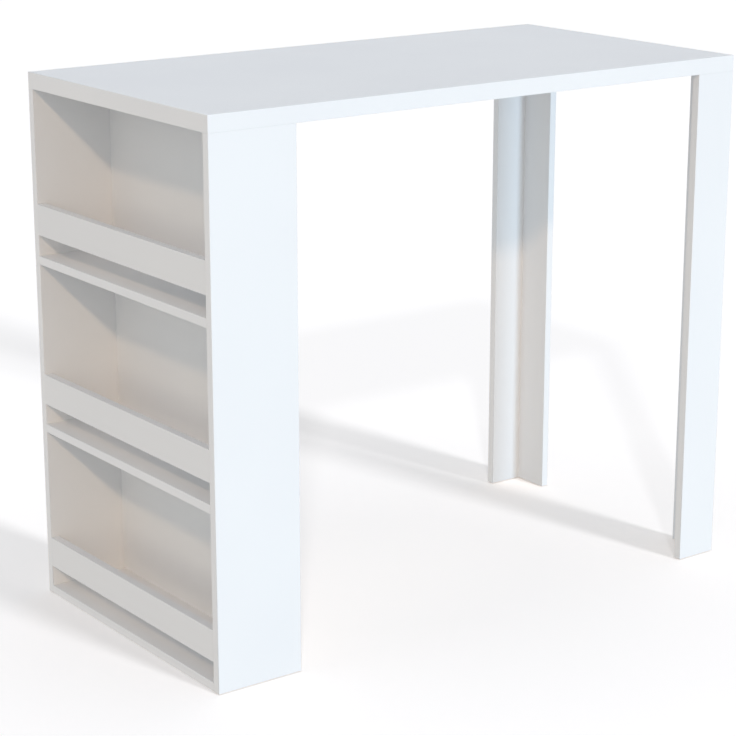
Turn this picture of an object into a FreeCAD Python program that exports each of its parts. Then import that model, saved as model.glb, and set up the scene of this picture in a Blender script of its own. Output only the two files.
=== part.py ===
import FreeCAD, Part
import os
import Sketcher

# Driving sizes in millimetres. A name that ends in share is a part of another size.
SIZES = {
    "table_length": 1180,
    "table_depth": 600,
    "table_height": 1000,
    "top_thickness": 30,
    "top_edging_thickness": 2,
    "top_round_share": 0.4,
    "board_thickness": 16,
    "edging_thickness": 1,
    "edging_bevel_share": 0.5,
    "cabinet_width": 172,
    "leg_face_width": 90,
    "leg_return_width": 80,
    "rail_height": 58,
    "rail_gap": 39,
    "glide_head_height": 1.5,
    "glide_head_diameter": 12,
    "glide_stem_diameter": 8,
    "glide_stem_length": 14,
    "glide_inset": 24,
    "dowel_diameter": 8,
    "dowel_length": 30,
    "dowel_floor": 6,
    "bore_clearance": 0.1,
    "bore_end_clearance": 0.5,
    "fitting_pitch": 32,
    "rail_dowel_share": 0.27,
    "shelf_dowel_share": 0.25,
    "back_dowel_share": 0.2,
    "back_cam_share": 0.36,
    "cam_diameter": 15,
    "cam_skin": 0.8,
    "cam_recess": 0.5,
    "cam_setback": 34,
    "cam_play": 0.3,
    "cam_drive_length": 8,
    "cam_drive_width": 1.6,
    "cam_drive_share": 0.6,
    "bolt_bore_diameter": 8,
    "bolt_thread_diameter": 5,
    "bolt_thread_floor": 5,
    "bolt_shank_diameter": 6,
    "bolt_neck_diameter": 4,
    "bolt_head_diameter": 6.8,
    "bolt_head_length": 5,
    "cap_diameter": 17.5,
    "cap_height": 0.9,
    "cap_chamfer": 0.4,
}

# Angles in degrees.
QUARTER_TURN = 90
FULL_TURN = 360

# Flats around a small fitting and its bore. A dowel's flats stand for its flutes.
DOWEL_SIDES = 8
CAM_SIDES = 16

# Heights of the dowels in a leg's corner, as shares of the leg's height.
CORNER_DOWEL_SHARES = (0.08, 0.36, 0.64, 0.92)

# Shelf levels from the floor upwards.
LEVELS = ("lower", "middle", "upper")

# Size of a form before its sizes are tied to the sheet.
UNIT = 1

AXES = "xyz"

# Base plane across each axis, with the side of the axis that its normal points to.
PLANES = {"x": ("YZ_Plane", 1), "y": ("XZ_Plane", -1), "z": ("XY_Plane", 1)}

document = FreeCAD.newDocument("BarTable")
sheet = document.addObject("Spreadsheet::Sheet", "Sizes")
for row, (size_name, size_value) in enumerate(SIZES.items(), start=1):
    sheet.set(f"A{row}", size_name)
    sheet.set(f"B{row}", str(size_value))
    sheet.setAlias(f"B{row}", size_name)
document.recompute()


def size(name):
    """Give the expression that reads one driving size."""
    return f"Sizes.{name}"


# Expressions for the main sizes and planes of the table.
length = size("table_length")
depth = size("table_depth")
height = size("table_height")
thick = size("board_thickness")
edging = size("edging_thickness")
top_edging = size("top_edging_thickness")
cabinet = size("cabinet_width")
face_width = size("leg_face_width")
return_width = size("leg_return_width")
pitch = size("fitting_pitch")
clearance = size("bore_clearance")
end_room = size("bore_end_clearance")
left = f"(-{length} / 2)"
right = f"({length} / 2)"
front = f"(-{depth} / 2)"
rear = f"({depth} / 2)"
foot = size("glide_head_height")
under = f"({height} - {size('top_thickness')})"
panel_height = f"({under} - {foot})"
inner_depth = f"({depth} - 2 * {thick})"
inner_front = f"({front} + {thick})"
inner_rear = f"({rear} - {thick})"
cabinet_inside = f"({left} + {cabinet} - {thick})"
level_height = f"({panel_height} / {len(LEVELS)})"

# Expressions for the fittings.
dowel_in_face = f"({thick} - {size('dowel_floor')})"
dowel_in_edge = f"({size('dowel_length')} - {dowel_in_face})"
dowel_bore = f"({size('dowel_diameter')} + 2 * {clearance})"
thread_length = f"({thick} - {size('bolt_thread_floor')})"
thread_bore = f"({size('bolt_thread_diameter')} + 2 * {clearance})"
setback = size("cam_setback")
cam_bore = f"({size('cam_diameter')} + 2 * {clearance})"
head_room = f"({size('bolt_head_diameter')} / 2 + {size('cam_play')})"
cam_middle = f"({head_room} + {size('cam_skin')})"
cam_depth = f"({thick} / 2 + {cam_middle})"
cam_height = f"({cam_depth} - {size('cam_recess')})"


def base_plane(body, axis):
    """Find the base plane of a body that lies across an axis."""
    role = PLANES[axis][0]
    return next(item for item in body.Origin.OriginFeatures if item.Role == role)


def sketch_across(body, axis):
    """Start a sketch on the base plane across an axis."""
    sketch = body.newObject("Sketcher::SketchObject", "Outline")
    sketch.AttachmentSupport = [(base_plane(body, axis), "")]
    sketch.MapMode = "FlatFace"
    sketch.Visibility = False
    return sketch


def pin_point(sketch, item, vertex, across, up):
    """Tie one vertex of a sketch to its two distances from the sketch's origin."""
    for kind, line, place in (("DistanceX", -2, across), ("DistanceY", -1, up)):
        if place == "0":
            sketch.addConstraint(Sketcher.Constraint("PointOnObject", item, vertex, line))
            continue
        index = sketch.addConstraint(Sketcher.Constraint(kind, -1, 1, item, vertex, UNIT))
        sketch.setExpression(f"Constraints[{index}]", place)


def draw_outline(sketch, points):
    """Draw a closed outline through points given as pairs of expressions."""
    count = len(points)
    upright = FreeCAD.Vector(0, 0, UNIT)
    turns = [FreeCAD.Rotation(upright, FULL_TURN * index / count) for index in range(count)]
    spots = [turn.multVec(FreeCAD.Vector(UNIT, 0, 0)) for turn in turns]
    for index in range(count):
        line = Part.LineSegment(spots[index], spots[(index + 1) % count])
        sketch.addGeometry(line, False)
    for index in range(count):
        following = (index + 1) % count
        sketch.addConstraint(Sketcher.Constraint("Coincident", index, 2, following, 1))
    for index, (across, up) in enumerate(points):
        pin_point(sketch, index, 1, across, up)


def new_body(label):
    """Add an empty body with a label."""
    body = document.addObject("PartDesign::Body", label)
    body.Label = label
    return body


def place_at(item, point):
    """Tie the place of an object to the expressions of a point."""
    for axis in AXES:
        item.setExpression(f"Placement.Base.{axis}", point[axis])


def gather(label, items):
    """Gather separate solids into one object."""
    group = document.addObject("Part::Compound", label)
    group.Label = label
    group.Links = items
    return group


def direction(axis, sign):
    """Give the unit vector along an axis."""
    return FreeCAD.Vector(*[sign if name == axis else 0 for name in AXES])


def next_axis(axis):
    """Name the axis that follows another."""
    return AXES[(AXES.index(axis) + 1) % len(AXES)]


def turned_to(upright, aside):
    """Turn a form so that its Z and X axes point in two given directions."""
    return FreeCAD.Placement(FreeCAD.Vector(), FreeCAD.Rotation(aside, FreeCAD.Vector(), upright, "ZXY"))


def moved(point, axis, place):
    """Copy a point with its place along one axis set."""
    return {**point, axis: place}


class Board:
    """A flat board, padded from its face and lying along the three axes."""

    def __init__(self, label, corner, extent, thin):
        """Pad the board.

        label: name of the board
        corner: expressions for the lowest corner in the table's frame
        extent: expressions for the three extents
        thin: axis of the thickness
        """
        self.label = label
        self.corner = dict(zip(AXES, corner))
        self.extent = dict(zip(AXES, extent))
        self.bores = []
        self.body = new_body(f"{label}_blank")
        across, up = (self.extent[axis] for axis in AXES if axis != thin)
        sketch = sketch_across(self.body, thin)
        draw_outline(sketch, [("0", "0"), (across, "0"), (across, up), ("0", up)])
        self.pad = self.body.newObject("PartDesign::Pad", "Blank")
        self.pad.Profile = sketch
        self.pad.Reversed = PLANES[thin][1] < 0
        self.pad.setExpression("Length", self.extent[thin])
        place_at(self.body, self.corner)

    def face_level(self, axis, upper):
        """Give the level of a face in the table's frame."""
        if upper:
            return f"({self.corner[axis]} + {self.extent[axis]})"
        return self.corner[axis]

    def bore(self, axis, upper, points, sides, diameter, bore_depth):
        """Sink blind bores into a face.

        axis: axis of the bores
        upper: whether the bores start at the upper face along that axis
        points: bore places in the table's frame, by axis
        sides: flats around a bore
        diameter, bore_depth: expressions for a bore
        """
        turned = turned_to(direction(axis, -1 if upper else 1), direction(next_axis(axis), 1))
        level = self.face_level(axis, upper)
        for point in points:
            hole = document.addObject("Part::Prism", f"{self.label}_bore")
            hole.Polygon = sides
            hole.setExpression("Circumradius", f"{diameter} / 2")
            hole.setExpression("Height", bore_depth)
            hole.Placement = turned
            place_at(hole, moved(point, axis, level))
            self.bores.append(hole)

    def finished(self):
        """Cut the bores out of the board."""
        bored = document.addObject("Part::Cut", self.label)
        bored.Label = self.label
        bored.Base = self.body
        bored.Tool = gather(f"{self.label}_bores", self.bores)
        return bored

    def outer_edges(self, axis, upper, along):
        """Name the edges of one face of the blank that run along the given axes."""
        document.recompute()
        shape = self.pad.Shape
        box = shape.BoundBox
        limits = {"x": (box.XMin, box.XMax), "y": (box.YMin, box.YMax), "z": (box.ZMin, box.ZMax)}
        level = limits[axis][1 if upper else 0]
        near = box.DiagonalLength * Part.Precision.confusion()
        names = []
        for index, edge in enumerate(shape.Edges, start=1):
            first, last = (vertex.Point for vertex in edge.Vertexes)
            middle = (first + last) / 2
            step = last - first
            runs = max(AXES, key=lambda name: abs(getattr(step, name)))
            if runs in along and abs(getattr(middle, axis) - level) < near:
                names.append(f"Edge{index}")
        return names


class Fitting:
    """A small fitting, drawn once around its own upright axis."""

    def __init__(self, label):
        """Add the empty body of the fitting."""
        self.body = new_body(label)

    def turn(self, points):
        """Turn a half outline into a round solid."""
        sketch = sketch_across(self.body, "y")
        draw_outline(sketch, points)
        solid = self.body.newObject("PartDesign::Revolution", "Turned")
        solid.Profile = sketch
        solid.ReferenceAxis = (sketch, ["V_Axis"])
        solid.Angle = FULL_TURN

    def raise_prism(self, sides, diameter, low, tall):
        """Raise a flat-sided drum from a height."""
        drum = self.body.newObject("PartDesign::AdditivePrism", "Drum")
        drum.AttachmentSupport = [(base_plane(self.body, "z"), "")]
        drum.MapMode = "FlatFace"
        drum.Polygon = sides
        drum.setExpression("Circumradius", f"{diameter} / 2")
        drum.setExpression("Height", tall)
        drum.setExpression("AttachmentOffset.Base.z", low)

    def cut_box(self, corner, extent):
        """Cut out a box, given its lowest corner and its extents."""
        box = self.body.newObject("PartDesign::SubtractiveBox", "Cut")
        box.AttachmentSupport = [(base_plane(self.body, "z"), "")]
        box.MapMode = "FlatFace"
        for name, value in zip(("Length", "Width", "Height"), extent):
            box.setExpression(name, value)
        for axis, value in zip(AXES, corner):
            box.setExpression(f"AttachmentOffset.Base.{axis}", value)
        return box

    def cross(self, slot):
        """Repeat a slot at a right angle to itself."""
        pattern = self.body.newObject("PartDesign::PolarPattern", "Cross")
        pattern.Originals = [slot]
        upright = next(item for item in self.body.Origin.OriginFeatures if item.Role == "Z_Axis")
        pattern.Axis = (upright, [""])
        pattern.Angle = QUARTER_TURN
        pattern.Occurrences = 2
        self.body.Tip = pattern


class FittingGroup:
    """Equal fittings that share one node."""

    def __init__(self, label, fitting):
        """Name the group and the fitting that it repeats."""
        self.label = label
        self.fitting = fitting
        self.links = []

    def add(self, place, upright, aside):
        """Set one fitting into place.

        place: expressions for the fitting's own origin, by axis
        upright: direction of the fitting's axis
        aside: direction of the fitting's own X axis
        """
        link = document.addObject("App::Link", f"{self.label}_place")
        link.LinkedObject = self.fitting.body
        link.Placement = turned_to(upright, aside)
        place_at(link, place)
        self.links.append(link)

    def gather(self):
        """Gather the fittings into one object."""
        return gather(self.label, self.links)


def dowel_joint(group, face_board, edge_board, axis, toward, points):
    """Peg the edge of one board to the face of another.

    toward: side of the axis on which the edge board lies, 1 or -1
    points: dowel places across the axis
    """
    face_depth = f"({dowel_in_face} + {end_room})"
    edge_depth = f"({dowel_in_edge} + {end_room})"
    face_board.bore(axis, toward > 0, points, DOWEL_SIDES, dowel_bore, face_depth)
    edge_board.bore(axis, toward < 0, points, DOWEL_SIDES, dowel_bore, edge_depth)
    level = edge_board.face_level(axis, toward < 0)
    for point in points:
        place = moved(point, axis, f"({level} - {toward} * {dowel_in_face})")
        group.add(place, direction(axis, toward), direction(next_axis(axis), 1))


def cam_joint(groups, face_board, edge_board, axis, toward, cam_axis, cam_upper, points):
    """Draw the edge of one board to the face of another with bolts and cams.

    groups: cams, bolts and, where the cams show, caps
    toward: side of the axis on which the edge board lies, 1 or -1
    cam_axis, cam_upper: face of the edge board that the cams sit in
    points: bolt places across the axis
    """
    cams, bolts, caps = groups
    thread_depth = f"({thread_length} + {end_room})"
    face_board.bore(axis, toward > 0, points, DOWEL_SIDES, thread_bore, thread_depth)
    edge_board.bore(axis, toward < 0, points, DOWEL_SIDES, size("bolt_bore_diameter"), setback)
    level = edge_board.face_level(axis, toward < 0)
    middles = [moved(point, axis, f"({level} + {toward} * {setback})") for point in points]
    edge_board.bore(cam_axis, cam_upper, middles, CAM_SIDES, cam_bore, cam_depth)
    outward = 1 if cam_upper else -1
    face = edge_board.face_level(cam_axis, cam_upper)
    for point, middle in zip(points, middles):
        seat = moved(middle, cam_axis, f"({face} - {outward} * {cam_depth})")
        cams.add(seat, direction(cam_axis, outward), direction(axis, -toward))
        start = moved(point, axis, f"({level} - {toward} * {thread_length})")
        bolts.add(start, direction(axis, toward), direction(cam_axis, outward))
        if caps:
            cover = moved(middle, cam_axis, face)
            caps.add(cover, direction(cam_axis, outward), direction(axis, -toward))


def edge_strip(label, corner, extent, axis, upper, along):
    """Lay one strip of thin edging, with its outer edges bevelled."""
    strip = Board(label, corner, extent, axis)
    names = strip.outer_edges(axis, upper, along)
    bevel = strip.body.newObject("PartDesign::Chamfer", "Bevel")
    bevel.Base = (strip.pad, names)
    bevel.setExpression("Size", f"{size('edging_bevel_share')} * {edging}")
    strip.body.Label = label
    return strip.body


def top_strip(label, corner, extent, axis, upper, along):
    """Lay one strip of the top's thicker edging, with its outer edges rounded."""
    strip = Board(label, corner, extent, axis)
    names = strip.outer_edges(axis, upper, along)
    rounding = strip.body.newObject("PartDesign::Fillet", "Rounding")
    rounding.Base = (strip.pad, names)
    rounding.setExpression("Radius", f"{size('top_round_share')} * {top_edging}")
    return strip.body


boards = []
parts = []

# Table top, with edging on its four sides.
top_height = size("top_thickness")
top_front = f"({front} + {top_edging})"
top_inner_depth = f"({depth} - 2 * {top_edging})"
top = Board(
    "table_top",
    (f"({left} + {top_edging})", top_front, under),
    (f"({length} - 2 * {top_edging})", top_inner_depth, top_height),
    "z",
)
boards.append(top)
top_rear = f"({rear} - {top_edging})"
top_right = f"({right} - {top_edging})"
long_strip = (length, top_edging, top_height)
short_strip = (top_edging, top_inner_depth, top_height)
parts.append(gather("table_top_edging", [
    top_strip("top_strip_front", (left, front, under), long_strip, "y", False, "xz"),
    top_strip("top_strip_rear", (left, top_rear, under), long_strip, "y", True, "xz"),
    top_strip("top_strip_left", (left, top_front, under), short_strip, "x", False, "y"),
    top_strip("top_strip_right", (top_right, top_front, under), short_strip, "x", True, "y"),
]))

# Front and rear panels of the cabinet.
side_panels = {}
for side, panel_corner in (("front", front), ("rear", inner_rear)):
    label = f"cabinet_{side}_panel"
    panel = Board(
        label,
        (f"({left} + {edging})", panel_corner, foot),
        (f"({cabinet} - 2 * {edging})", thick, panel_height),
        "y",
    )
    side_panels[side] = panel
    boards.append(panel)
    strip = (edging, thick, panel_height)
    outer = edge_strip(f"{label}_strip_outer", (left, panel_corner, foot), strip, "x", False, "z")
    inner = edge_strip(f"{label}_strip_inner", (f"({left} + {cabinet} - {edging})", panel_corner, foot),
                       strip, "x", True, "z")
    parts.append(gather(f"{label}_edging", [outer, inner]))

# Back panel, between the front and rear panels.
back_panel = Board(
    "cabinet_back_panel",
    (cabinet_inside, inner_front, foot),
    (thick, inner_depth, panel_height),
    "x",
)
boards.append(back_panel)

# Shelves and the rails that keep bottles in, level by level.
shelves = []
rails = []
for count, level_name in enumerate(LEVELS):
    base = f"({foot} + {count} * {level_height})"
    shelf = Board(
        f"{level_name}_shelf",
        (f"({left} + {edging})", inner_front, base),
        (f"({cabinet} - {thick} - {edging})", inner_depth, thick),
        "z",
    )
    shelves.append(shelf)
    boards.append(shelf)
    shelf_strip = edge_strip(f"{level_name}_shelf_edging", (left, inner_front, base),
                             (edging, inner_depth, thick), "x", False, "y")
    parts.append(shelf_strip)
    rail_low = f"({base} + {thick} + {size('rail_gap')})"
    rail = Board(
        f"{level_name}_rail",
        (left, inner_front, f"({rail_low} + {edging})"),
        (thick, inner_depth, f"({size('rail_height')} - 2 * {edging})"),
        "x",
    )
    rails.append(rail)
    boards.append(rail)
    strip = (thick, inner_depth, edging)
    below = edge_strip(f"{level_name}_rail_strip_below", (left, inner_front, rail_low),
                       strip, "z", False, "y")
    above = edge_strip(f"{level_name}_rail_strip_above",
                       (left, inner_front, f"({rail_low} + {size('rail_height')} - {edging})"),
                       strip, "z", True, "y")
    parts.append(gather(f"{level_name}_rail_edging", [below, above]))

# Corner legs, each a face board and an end board that meet in an angle.
face_boards = {}
end_boards = {}
leg_left = f"({right} - {face_width})"
end_core = f"({return_width} - {edging})"
end_places = {
    "front": (inner_front, f"({inner_front} + {end_core})", True),
    "rear": (f"({inner_rear} - {end_core})", f"({inner_rear} - {return_width})", False),
}
for side, face_corner in (("front", front), ("rear", inner_rear)):
    label = f"{side}_leg_face_board"
    face_board = Board(
        label,
        (f"({leg_left} + {edging})", face_corner, foot),
        (f"({face_width} - 2 * {edging})", thick, panel_height),
        "y",
    )
    face_boards[side] = face_board
    boards.append(face_board)
    strip = (edging, thick, panel_height)
    inner = edge_strip(f"{label}_strip_inner", (leg_left, face_corner, foot), strip, "x", False, "z")
    outer = edge_strip(f"{label}_strip_outer", (f"({right} - {edging})", face_corner, foot),
                       strip, "x", True, "z")
    parts.append(gather(f"{label}_edging", [inner, outer]))
    core_corner, strip_corner, strip_upper = end_places[side]
    end_board = Board(
        f"{side}_leg_end_board",
        (f"({right} - {thick})", core_corner, foot),
        (thick, end_core, panel_height),
        "x",
    )
    end_boards[side] = end_board
    boards.append(end_board)
    parts.append(edge_strip(f"{side}_leg_end_board_edging", (f"({right} - {thick})", strip_corner, foot),
                            (thick, edging, panel_height), "y", strip_upper, "z"))

# Wooden dowel.
dowel = Fitting("dowel_form")
dowel.raise_prism(DOWEL_SIDES, size("dowel_diameter"), "0", size("dowel_length"))

# Bolt with a thread end, a shank, a neck and a head that the cam pulls on.
bolt = Fitting("bolt_form")
bolt_neck_start = f"({thread_length} + {setback} - {size('cam_diameter')} / 2 - {size('cam_play')})"
bolt_head_start = f"({thread_length} + {setback} - {size('bolt_head_length')} / 2)"
bolt_sections = (
    ("thread", "0", thread_length),
    ("shank", thread_length, f"({bolt_neck_start} - {thread_length})"),
    ("neck", bolt_neck_start, f"({bolt_head_start} - {bolt_neck_start})"),
    ("head", bolt_head_start, size("bolt_head_length")),
)
for section, low, tall in bolt_sections:
    bolt.raise_prism(DOWEL_SIDES, size(f"bolt_{section}_diameter"), low, tall)

# Cam with a hollow for the bolt's head, an entry for the head on one side, and a quarter slot in which the
# bolt's neck travels as the cam turns and the shoulder of the hollow draws the head in.
cam = Fitting("cam_form")
cam_reach = f"({size('cam_diameter')} / 2 + {clearance})"
head_half = f"({size('bolt_head_length')} / 2 + {size('cam_play')})"
neck_room = f"({size('bolt_neck_diameter')} / 2 + {size('cam_play')})"
head_low = f"({cam_middle} - {head_room})"
cam.raise_prism(CAM_SIDES, size("cam_diameter"), "0", cam_height)
cam.cut_box((f"-{head_half}", f"-{head_room}", head_low),
            (f"2 * {head_half}", f"2 * {head_room}", f"2 * {head_room}"))
cam.cut_box((f"-{head_room}", head_room, head_low),
            (f"2 * {head_room}", f"{cam_reach} - {head_room}", f"2 * {head_room}"))
cam.cut_box((f"-{neck_room}", f"-{neck_room}", f"{cam_middle} - {neck_room}"),
            (f"{cam_reach} + {neck_room}", f"{cam_reach} + {neck_room}", f"2 * {neck_room}"))
drive_depth = f"({size('cam_drive_share')} * ({cam_height} - {cam_middle} - {head_room}))"
drive_slot = cam.cut_box(
    (f"-{size('cam_drive_length')} / 2", f"-{size('cam_drive_width')} / 2", f"{cam_height} - {drive_depth}"),
    (size("cam_drive_length"), size("cam_drive_width"), drive_depth),
)
cam.cross(drive_slot)

# Cap that lies over a cam, with a chamfered rim.
cap = Fitting("cap_form")
cap_radius = f"({size('cap_diameter')} / 2)"
cap_height = size("cap_height")
cap.turn([
    ("0", "0"),
    (cap_radius, "0"),
    (cap_radius, f"({cap_height} - {size('cap_chamfer')})"),
    (f"({cap_radius} - {size('cap_chamfer')})", cap_height),
    ("0", cap_height),
])

# Floor glide, a low head on a stem that presses into the board.
glide = Fitting("glide_form")
glide.raise_prism(CAM_SIDES, size("glide_head_diameter"), "0", foot)
glide.raise_prism(DOWEL_SIDES, size("glide_stem_diameter"), foot, size("glide_stem_length"))

# Middle places that the joints are set out from.
shelf_middle = f"({left} + ({cabinet} - {thick}) / 2)"
panel_middle = f"({left} + {cabinet} / 2)"
back_middle = f"({left} + {cabinet} - {thick} / 2)"
rail_middle = f"({left} + {thick} / 2)"
board_middle = {"front": f"({front} + {thick} / 2)", "rear": f"({rear} - {thick} / 2)"}
inward = {"front": 1, "rear": -1}

# Shelves to the front, rear and back panels, and rails to the front and rear panels.
shelf_dowels = FittingGroup("shelf_dowels", dowel)
rail_dowels = FittingGroup("rail_dowels", dowel)
back_dowels = FittingGroup("back_panel_dowels", dowel)
shelf_cams = FittingGroup("shelf_cams", cam)
shelf_bolts = FittingGroup("shelf_cam_bolts", bolt)
for count, (shelf, rail) in enumerate(zip(shelves, rails)):
    base = f"({foot} + {count} * {level_height})"
    shelf_level = f"({base} + {thick} / 2)"
    rail_level = f"({base} + {thick} + {size('rail_gap')} + {size('rail_height')} / 2)"
    rail_step = f"{size('rail_dowel_share')} * {size('rail_height')}"
    between = f"({base} + ({level_height} + {thick}) / 2)"
    for side, panel in side_panels.items():
        toward = inward[side]
        dowel_joint(shelf_dowels, panel, shelf, "y", toward, [
            {"x": f"({shelf_middle} - {pitch})", "z": shelf_level},
            {"x": f"({shelf_middle} + {pitch})", "z": shelf_level},
        ])
        cam_joint((shelf_cams, shelf_bolts, None), panel, shelf, "y", toward, "z", False,
                  [{"x": shelf_middle, "z": shelf_level}])
        dowel_joint(rail_dowels, panel, rail, "y", toward, [
            {"x": rail_middle, "z": f"({rail_level} - {rail_step})"},
            {"x": rail_middle, "z": f"({rail_level} + {rail_step})"},
        ])
        dowel_joint(back_dowels, panel, back_panel, "y", toward, [{"x": back_middle, "z": between}])
    shelf_step = f"({size('shelf_dowel_share')} * {depth})"
    dowel_joint(shelf_dowels, back_panel, shelf, "x", -1, [
        {"y": f"(-{shelf_step})", "z": shelf_level},
        {"y": shelf_step, "z": shelf_level},
    ])

# Cabinet panels to the top.
top_dowels = FittingGroup("table_top_dowels", dowel)
back_cams = FittingGroup("back_panel_cams", cam)
back_bolts = FittingGroup("back_panel_cam_bolts", bolt)
back_caps = FittingGroup("back_panel_cam_caps", cap)
for side, panel in side_panels.items():
    dowel_joint(top_dowels, top, panel, "z", -1, [
        {"x": f"({panel_middle} - {pitch})", "y": board_middle[side]},
        {"x": f"({panel_middle} + {pitch})", "y": board_middle[side]},
    ])
back_step = f"({size('back_dowel_share')} * {depth})"
back_reach = f"({size('back_cam_share')} * {depth})"
dowel_joint(top_dowels, top, back_panel, "z", -1, [
    {"x": back_middle, "y": f"(-{back_step})"},
    {"x": back_middle, "y": back_step},
])
cam_joint((back_cams, back_bolts, back_caps), top, back_panel, "z", -1, "x", True, [
    {"x": back_middle, "y": f"(-{back_reach})"},
    {"x": back_middle, "y": back_reach},
])

# Leg boards to the top and to each other.
leg_dowels = FittingGroup("leg_corner_dowels", dowel)
leg_cams = FittingGroup("leg_cams", cam)
leg_bolts = FittingGroup("leg_cam_bolts", bolt)
leg_caps = FittingGroup("leg_cam_caps", cap)
leg_groups = (leg_cams, leg_bolts, leg_caps)
leg_face_middle = f"({right} - ({face_width} + {thick}) / 2)"
leg_end_middle = {
    "front": f"({inner_front} + {return_width} / 2)",
    "rear": f"({inner_rear} - {return_width} / 2)",
}
for side, face_board in face_boards.items():
    toward = inward[side]
    end_board = end_boards[side]
    end_line = f"({right} - {thick} / 2)"
    dowel_joint(top_dowels, top, face_board, "z", -1, [
        {"x": f"({leg_face_middle} + {pitch} / 2)", "y": board_middle[side]},
    ])
    cam_joint(leg_groups, top, face_board, "z", -1, "y", toward > 0, [
        {"x": f"({leg_face_middle} - {pitch} / 2)", "y": board_middle[side]},
    ])
    dowel_joint(top_dowels, top, end_board, "z", -1, [
        {"x": end_line, "y": f"({leg_end_middle[side]} - {toward} * {pitch} / 2)"},
    ])
    cam_joint(leg_groups, top, end_board, "z", -1, "x", False, [
        {"x": end_line, "y": f"({leg_end_middle[side]} + {toward} * {pitch} / 2)"},
    ])
    corner_points = []
    for share in CORNER_DOWEL_SHARES:
        corner_points.append({"x": end_line, "z": f"({foot} + {panel_height} * {share})"})
    dowel_joint(leg_dowels, face_board, end_board, "y", toward, corner_points)

# Glides under the boards that carry the table.
glides = FittingGroup("floor_glides", glide)
glide_places = []
for side, panel in side_panels.items():
    glide_places.append((panel, f"({left} + {size('glide_inset')})", board_middle[side]))
    glide_places.append((panel, f"({left} + {cabinet} - {size('glide_inset')})", board_middle[side]))
    glide_places.append((face_boards[side], leg_face_middle, board_middle[side]))
    glide_places.append((end_boards[side], f"({right} - {thick} / 2)", leg_end_middle[side]))
glide_bore = f"({size('glide_stem_diameter')} + 2 * {clearance})"
glide_bore_depth = f"({size('glide_stem_length')} + {end_room})"
for panel, across, along in glide_places:
    panel.bore("z", False, [{"x": across, "y": along}], DOWEL_SIDES, glide_bore, glide_bore_depth)
    glides.add({"x": across, "y": along, "z": "0"}, direction("z", 1), direction("x", 1))

for board in boards:
    parts.append(board.finished())
for group in (shelf_dowels, rail_dowels, back_dowels, top_dowels, leg_dowels, shelf_cams, shelf_bolts,
              back_cams, back_bolts, back_caps, leg_cams, leg_bolts, leg_caps, glides):
    parts.append(group.gather())

document.recompute()

# Every object is sound before any file is written.
for item in document.Objects:
    if "Invalid" in item.State or "Error" in item.State:
        raise RuntimeError(f"{item.Label} did not build: {item.State}")
os.makedirs("parts", exist_ok=True)
for part in parts:
    shape = part.Shape
    if shape.isNull() or not shape.isValid():
        raise RuntimeError(f"{part.Label} has no sound shape")
    shape.exportStep(f"parts/{part.Label}.step")
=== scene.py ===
"""White bar table with an open bottle cabinet at one end and two corner legs at the other."""
import logging
import math
from dataclasses import dataclass
from enum import Enum
from typing import Mapping, Sequence

import bmesh
import bpy
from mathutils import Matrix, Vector


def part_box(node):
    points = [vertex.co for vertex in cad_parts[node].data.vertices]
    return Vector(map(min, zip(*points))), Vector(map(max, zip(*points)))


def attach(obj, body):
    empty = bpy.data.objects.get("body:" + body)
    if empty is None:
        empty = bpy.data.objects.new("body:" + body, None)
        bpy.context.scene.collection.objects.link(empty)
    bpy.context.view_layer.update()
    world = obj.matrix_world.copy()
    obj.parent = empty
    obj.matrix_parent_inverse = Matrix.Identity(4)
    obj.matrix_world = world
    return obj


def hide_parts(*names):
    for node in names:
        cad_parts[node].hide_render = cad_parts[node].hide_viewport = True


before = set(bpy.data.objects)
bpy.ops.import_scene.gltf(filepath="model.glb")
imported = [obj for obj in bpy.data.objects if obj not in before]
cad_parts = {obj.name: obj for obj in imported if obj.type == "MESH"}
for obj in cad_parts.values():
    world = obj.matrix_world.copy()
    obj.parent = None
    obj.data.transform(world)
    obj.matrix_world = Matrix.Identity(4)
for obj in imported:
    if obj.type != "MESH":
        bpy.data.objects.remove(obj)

Socket = bpy.types.NodeSocket
Colour = tuple[float, float, float, float]
Outline = Sequence[tuple[float, float]]
Corners = tuple[Vector, Vector]
Seat = tuple[Vector, Vector]

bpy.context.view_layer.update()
BODY = "root"
MM = 0.001
NEAR = 0.01 * MM
SORT_DIGITS = 5
NOISE_REACH = (0.3, 0.7)
FULL_REACH = (0.0, 1.0)
WHITE: Colour = (1.0, 1.0, 1.0, 1.0)
ORIGIN = (0.0, 0.0, 0.0)
UPWARD = (0.0, 0.0, 1.0)
LAMP_DISTANCE = 6.0

log = logging.getLogger("bar_table")


class Axis(Enum):
    """One of the three axes of the table's frame."""

    X = 0
    Y = 1
    Z = 2


class Slot(Enum):
    """Material slots of the record that the finishes of new pieces stand for."""

    EDGING = "white_edging"
    BEECH = "beech"
    ZINC = "zinc_casting"
    STEEL = "plated_steel"
    CAP = "white_cap_plastic"
    GLIDE = "glide_plastic"


class Side(Enum):
    """Long sides of the table."""

    FRONT = "front"
    REAR = "rear"


class Level(Enum):
    """Shelf levels of the cabinet, from the floor upwards."""

    LOWER = "lower"
    MIDDLE = "middle"
    UPPER = "upper"


class Reach(Enum):
    """What a lamp lights, with the state of the floor among what it reaches."""

    TABLE = "EXCLUDE"
    FLOOR = "INCLUDE"


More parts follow.
